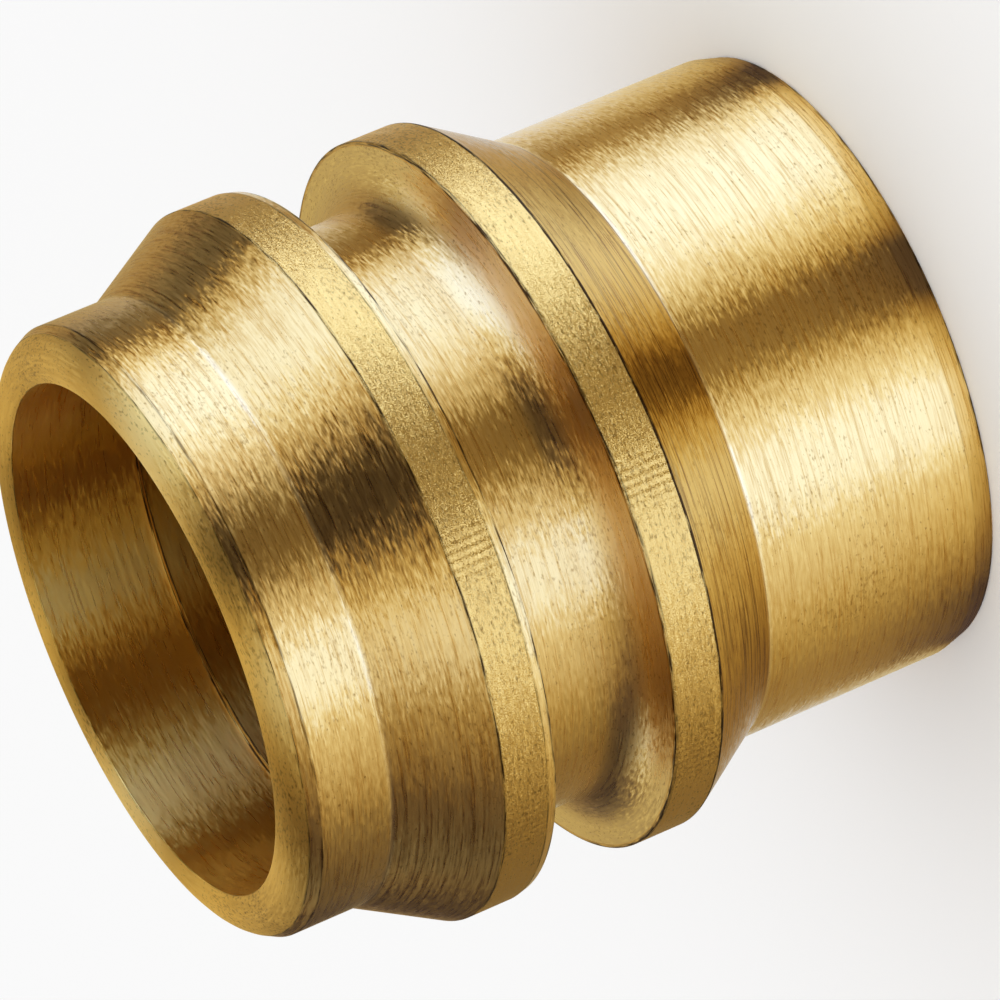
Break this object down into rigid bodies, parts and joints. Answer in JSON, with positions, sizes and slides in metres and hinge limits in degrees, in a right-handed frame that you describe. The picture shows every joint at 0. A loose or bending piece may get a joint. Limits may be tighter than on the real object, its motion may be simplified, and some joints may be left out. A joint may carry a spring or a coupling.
{
  "type": "reducing ring",
  "caption": "One-piece turned brass reducing ring with a tail, cones, collars, a round groove and a through bore, for clamping a thinner tube in a compression fitting.",
  "frame": {"origin": "middle of the tail end, on which the ring stands", "axes": "+Z along the ring's axis, from the tail end up to the nose; X and Y are free, because the ring is round"},
  "size_m": [0.0175, 0.0174, 0.0183],
  "materials": {
    "turned_brass": "bare brass, turned, with fine lathe lines"
  },
  "bodies": {
    "root": {"reducing_ring": "turned_brass"}
  },
  "joints": []
}
